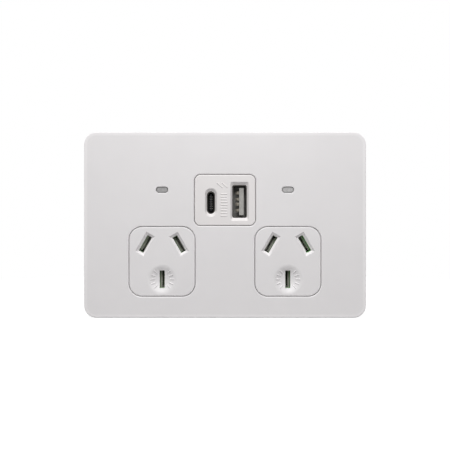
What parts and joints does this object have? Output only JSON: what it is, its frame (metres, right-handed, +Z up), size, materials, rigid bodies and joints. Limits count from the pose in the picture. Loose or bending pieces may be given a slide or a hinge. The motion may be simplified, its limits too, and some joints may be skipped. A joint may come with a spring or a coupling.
{
  "type": "usb wall socket",
  "caption": "Flush double wall outlet for flat three-pin plugs, with USB-C and USB-A charging ports in a white clip-on cover plate with rounded corners.",
  "frame": {"origin": "midway between the two fixing holes, on the plane of the wall", "axes": "+X to the right seen from the front, +Y into the wall, +Z up; the front faces -Y"},
  "size_m": [0.114, 0.0399, 0.075],
  "materials": {
    "cover_white": "satin moulded white polycarbonate",
    "frame_white": "satin moulded white polycarbonate",
    "usb_white": "satin moulded white polycarbonate",
    "housing_white": "matt moulded off-white plastic",
    "lens_grey": "frosted smoke-grey clear plastic",
    "led_white": "moulded lamp package",
    "shell_steel": "bright plated stamped steel",
    "port_grey": "moulded light grey nylon",
    "port_black": "moulded black nylon",
    "contact_gold": "gold-plated contact strip",
    "jaw_brass": "rolled spring brass",
    "terminal_brass": "drawn brass",
    "screw_steel": "zinc-plated steel",
    "board_green": "glass-fibre board with green mask",
    "follower_green": "moulded green acetal",
    "guide_green": "moulded green nylon",
    "switch_black": "moulded black phenolic",
    "lever_steel": "stamped stainless spring steel",
    "button_red": "moulded red plastic",
    "ferrite_grey": "ground ferrite",
    "tape_yellow": "polyester winding tape",
    "bobbin_black": "moulded black phenolic",
    "can_black": "shrink-sleeved aluminium can",
    "can_silver": "bare aluminium can",
    "cap_yellow": "moulded yellow box",
    "disc_blue": "dipped blue epoxy",
    "disc_orange": "dipped orange epoxy",
    "fuse_tan": "lacquered ceramic",
    "chip_black": "moulded black epoxy"
  },
  "bodies": {
    "base": {"grid_frame": "frame_white", "usb_face": "usb_white", "usb_a_shell": "shell_steel", "usb_a_insulator": "port_grey", "usb_a_contacts": "contact_gold", "usb_c_shell": "shell_steel", "usb_c_insulator": "port_black", "usb_c_contacts": "contact_gold", "main_board": "board_green", "active_terminal": "terminal_brass", "earth_terminal": "terminal_brass", "neutral_terminal": "terminal_brass", "terminal_screws": "screw_steel", "rear_housing": "housing_white", "housing_screws": "screw_steel", "transformer_core": "ferrite_grey", "transformer_winding": "tape_yellow", "transformer_bobbin": "bobbin_black", "input_capacitors": "can_black", "output_capacitors": "can_silver", "x_capacitor": "cap_yellow", "y_capacitor": "disc_blue", "varistor": "disc_orange", "fuse_resistor": "fuse_tan", "bridge_rectifier": "chip_black", "choke": "ferrite_grey", "primary_chip": "chip_black", "charge_chip": "chip_black", "active_jaw_left": "jaw_brass", "neutral_jaw_left": "jaw_brass", "earth_jaw_left": "jaw_brass", "pin_guide_left": "guide_green", "light_pipe_left": "lens_grey", "indicator_led_left": "led_white", "switch_body_left": "switch_black", "switch_legs_left": "terminal_brass", "active_jaw_right": "jaw_brass", "neutral_jaw_right": "jaw_brass", "earth_jaw_right": "jaw_brass", "pin_guide_right": "guide_green", "light_pipe_right": "lens_grey", "indicator_led_right": "led_white", "switch_body_right": "switch_black", "switch_legs_right": "terminal_brass"},
    "cover": {"cover_plate": "cover_white"},
    "follower_left": {"pin_follower_left": "follower_green"},
    "lever_left": {"switch_lever_left": "lever_steel"},
    "button_left": {"switch_button_left": "button_red"},
    "follower_right": {"pin_follower_right": "follower_green"},
    "lever_right": {"switch_lever_right": "lever_steel"},
    "button_right": {"switch_button_right": "button_red"}
  },
  "joints": [
    {"name": "cover_pull", "type": "slide", "parent": "base", "child": "cover", "axis": [0, -1, 0], "range_m": [0, 0.03]},
    {"name": "follower_left", "type": "slide", "parent": "base", "child": "follower_left", "axis": [0, 1, 0], "range_m": [0, 0.0032], "stiffness_N_per_m": 150},
    {"name": "lever_left", "type": "hinge", "parent": "base", "child": "lever_left", "pos_m": [-0.02545, 0.01935, -0.00851], "axis": [1, 0, 0], "range_deg": [0, 13.34]},
    {"name": "button_left", "type": "slide", "parent": "base", "child": "button_left", "axis": [0, 1, 0], "range_m": [0, 0.000735]},
    {"name": "follower_right", "type": "slide", "parent": "base", "child": "follower_right", "axis": [0, 1, 0], "range_m": [0, 0.0032], "stiffness_N_per_m": 150},
    {"name": "lever_right", "type": "hinge", "parent": "base", "child": "lever_right", "pos_m": [0.02545, 0.01935, -0.00851], "axis": [1, 0, 0], "range_deg": [0, 13.34]},
    {"name": "button_right", "type": "slide", "parent": "base", "child": "button_right", "axis": [0, 1, 0], "range_m": [0, 0.000735]}
  ],
  "couplings": [
    {"joint": "lever_left", "follows": "follower_left", "rad_per_m": 72.7},
    {"joint": "button_left", "follows": "follower_left", "ratio": 0.2296},
    {"joint": "lever_right", "follows": "follower_right", "rad_per_m": 72.7},
    {"joint": "button_right", "follows": "follower_right", "ratio": 0.2296}
  ]
}
